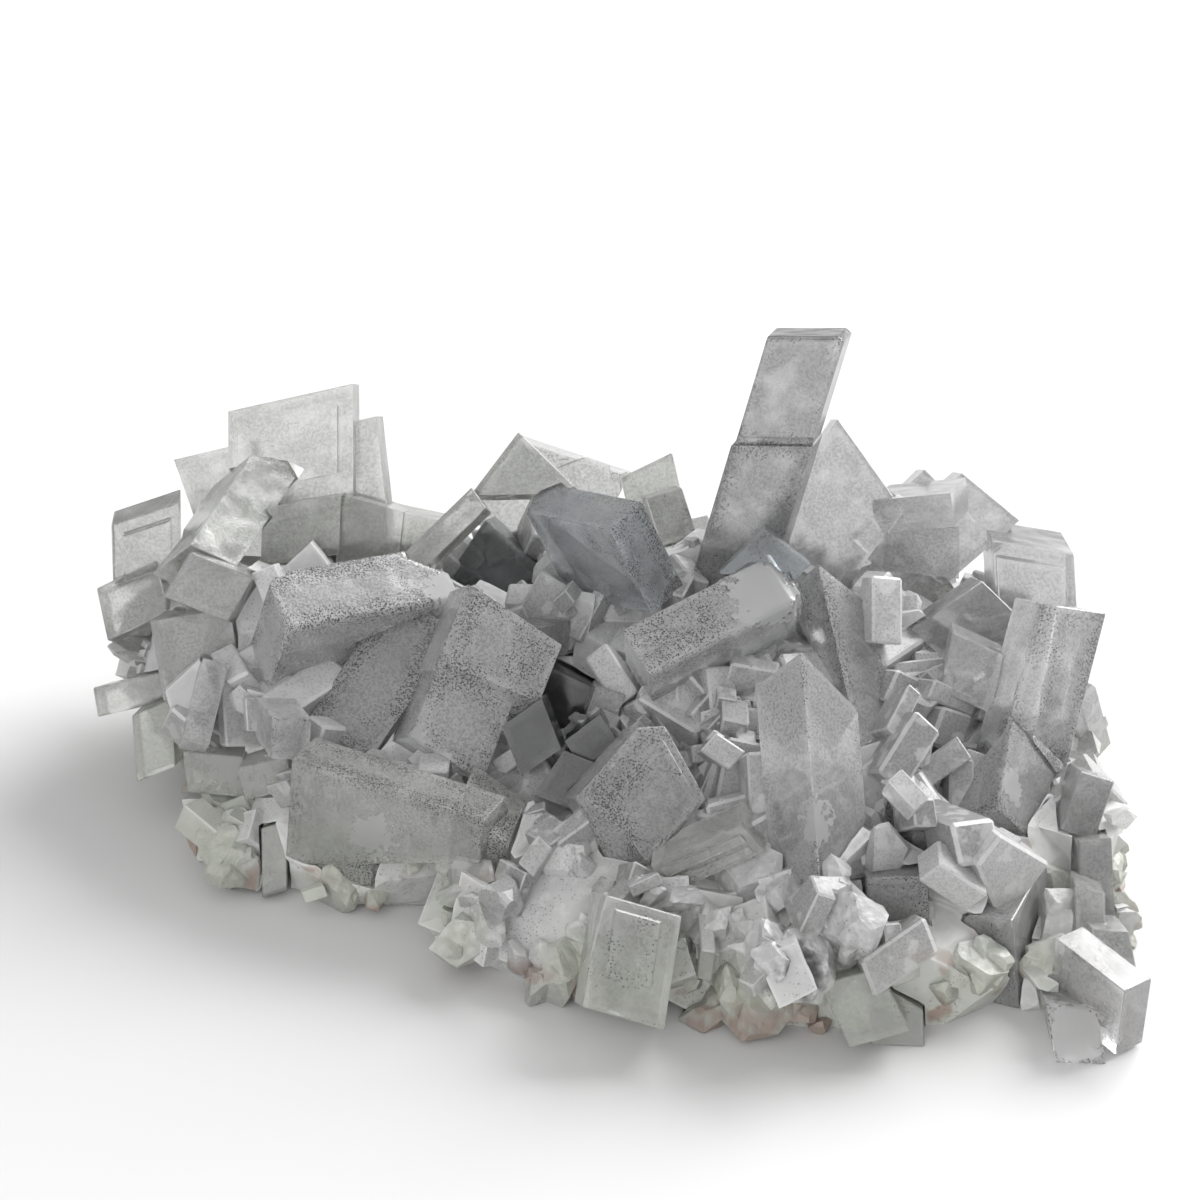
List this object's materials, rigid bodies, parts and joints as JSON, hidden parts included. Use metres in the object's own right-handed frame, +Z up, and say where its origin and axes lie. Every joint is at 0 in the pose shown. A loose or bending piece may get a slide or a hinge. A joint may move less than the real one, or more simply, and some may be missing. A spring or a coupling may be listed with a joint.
{
  "type": "barite specimen",
  "caption": "Cluster of translucent grey, blocky and tabular barite crystals grown on a low lump of matrix rock, cut flat underneath so that it rests on a shelf or table.",
  "frame": {"origin": "middle of the flat underside, on the surface that the specimen rests on", "axes": "+X along the specimen's length to its right as its best side is seen, +Y away from that side, +Z up"},
  "size_m": [0.1204, 0.094, 0.0581],
  "materials": {
    "matrix_rock": "rough grey crystalline rock, greenish and pinkish brown along its lower edge",
    "grey_crystal": "translucent grey barite, satin faces with fine dark speckles near the edges",
    "pale_crystal": "translucent pale barite, satin faces with whitish veils",
    "green_grey_crystal": "translucent barite with a faint greenish tint, satin faces",
    "dark_crystal": "dark grey translucent barite, satin faces"
  },
  "bodies": {
    "root": {"matrix_rock": "matrix_rock", "front_box": "pale_crystal", "stepped_blade": "grey_crystal", "large_left_blade": "grey_crystal", "small_left_box": "grey_crystal", "left_front_prism": "pale_crystal", "left_front_blocks": "pale_crystal", "left_front_blade": "grey_crystal", "left_edge_prism": "green_grey_crystal", "left_edge_bar": "pale_crystal", "left_edge_tablet": "grey_crystal", "left_rim_block": "green_grey_crystal", "left_leaning_blade": "green_grey_crystal", "grey_tablet": "grey_crystal", "left_flank_blocks": "grey_crystal", "front_rim_block": "green_grey_crystal", "back_left_plates": "green_grey_crystal", "back_left_blocks": "green_grey_crystal", "centre_prism": "grey_crystal", "back_wedge": "green_grey_crystal", "back_inclined_blade": "green_grey_crystal", "back_rim_crystals": "green_grey_crystal", "recess_slab": "dark_crystal", "back_small_box": "grey_crystal", "recess_bar": "pale_crystal", "recess_cube": "pale_crystal", "recess_block": "dark_crystal", "dark_tablet_left": "dark_crystal", "dark_tablet_middle": "dark_crystal", "dark_tablet_low": "dark_crystal", "dark_blade": "dark_crystal", "centre_bar": "grey_crystal", "blue_tablet": "dark_crystal", "front_tabular": "grey_crystal", "front_ridge_blade": "pale_crystal", "long_blade": "grey_crystal", "striated_bar": "pale_crystal", "foot_block": "pale_crystal", "right_wedge": "grey_crystal", "right_end_blade": "grey_crystal", "right_low_box": "pale_crystal", "right_foot_blade": "pale_crystal", "right_edge_wedge": "grey_crystal", "right_edge_column": "pale_crystal", "right_edge_blocks": "pale_crystal", "right_rim_block": "green_grey_crystal", "right_front_box": "grey_crystal", "right_front_flake": "dark_crystal", "tall_blade": "grey_crystal", "back_right_peaks": "pale_crystal", "back_right_shelf": "pale_crystal", "back_right_box": "grey_crystal", "back_right_slab": "pale_crystal", "clear_slab": "pale_crystal", "grey_slab": "grey_crystal", "right_recess_box": "pale_crystal", "far_left_block": "green_grey_crystal", "far_middle_blade": "grey_crystal", "far_right_block": "grey_crystal"}
  },
  "joints": []
}
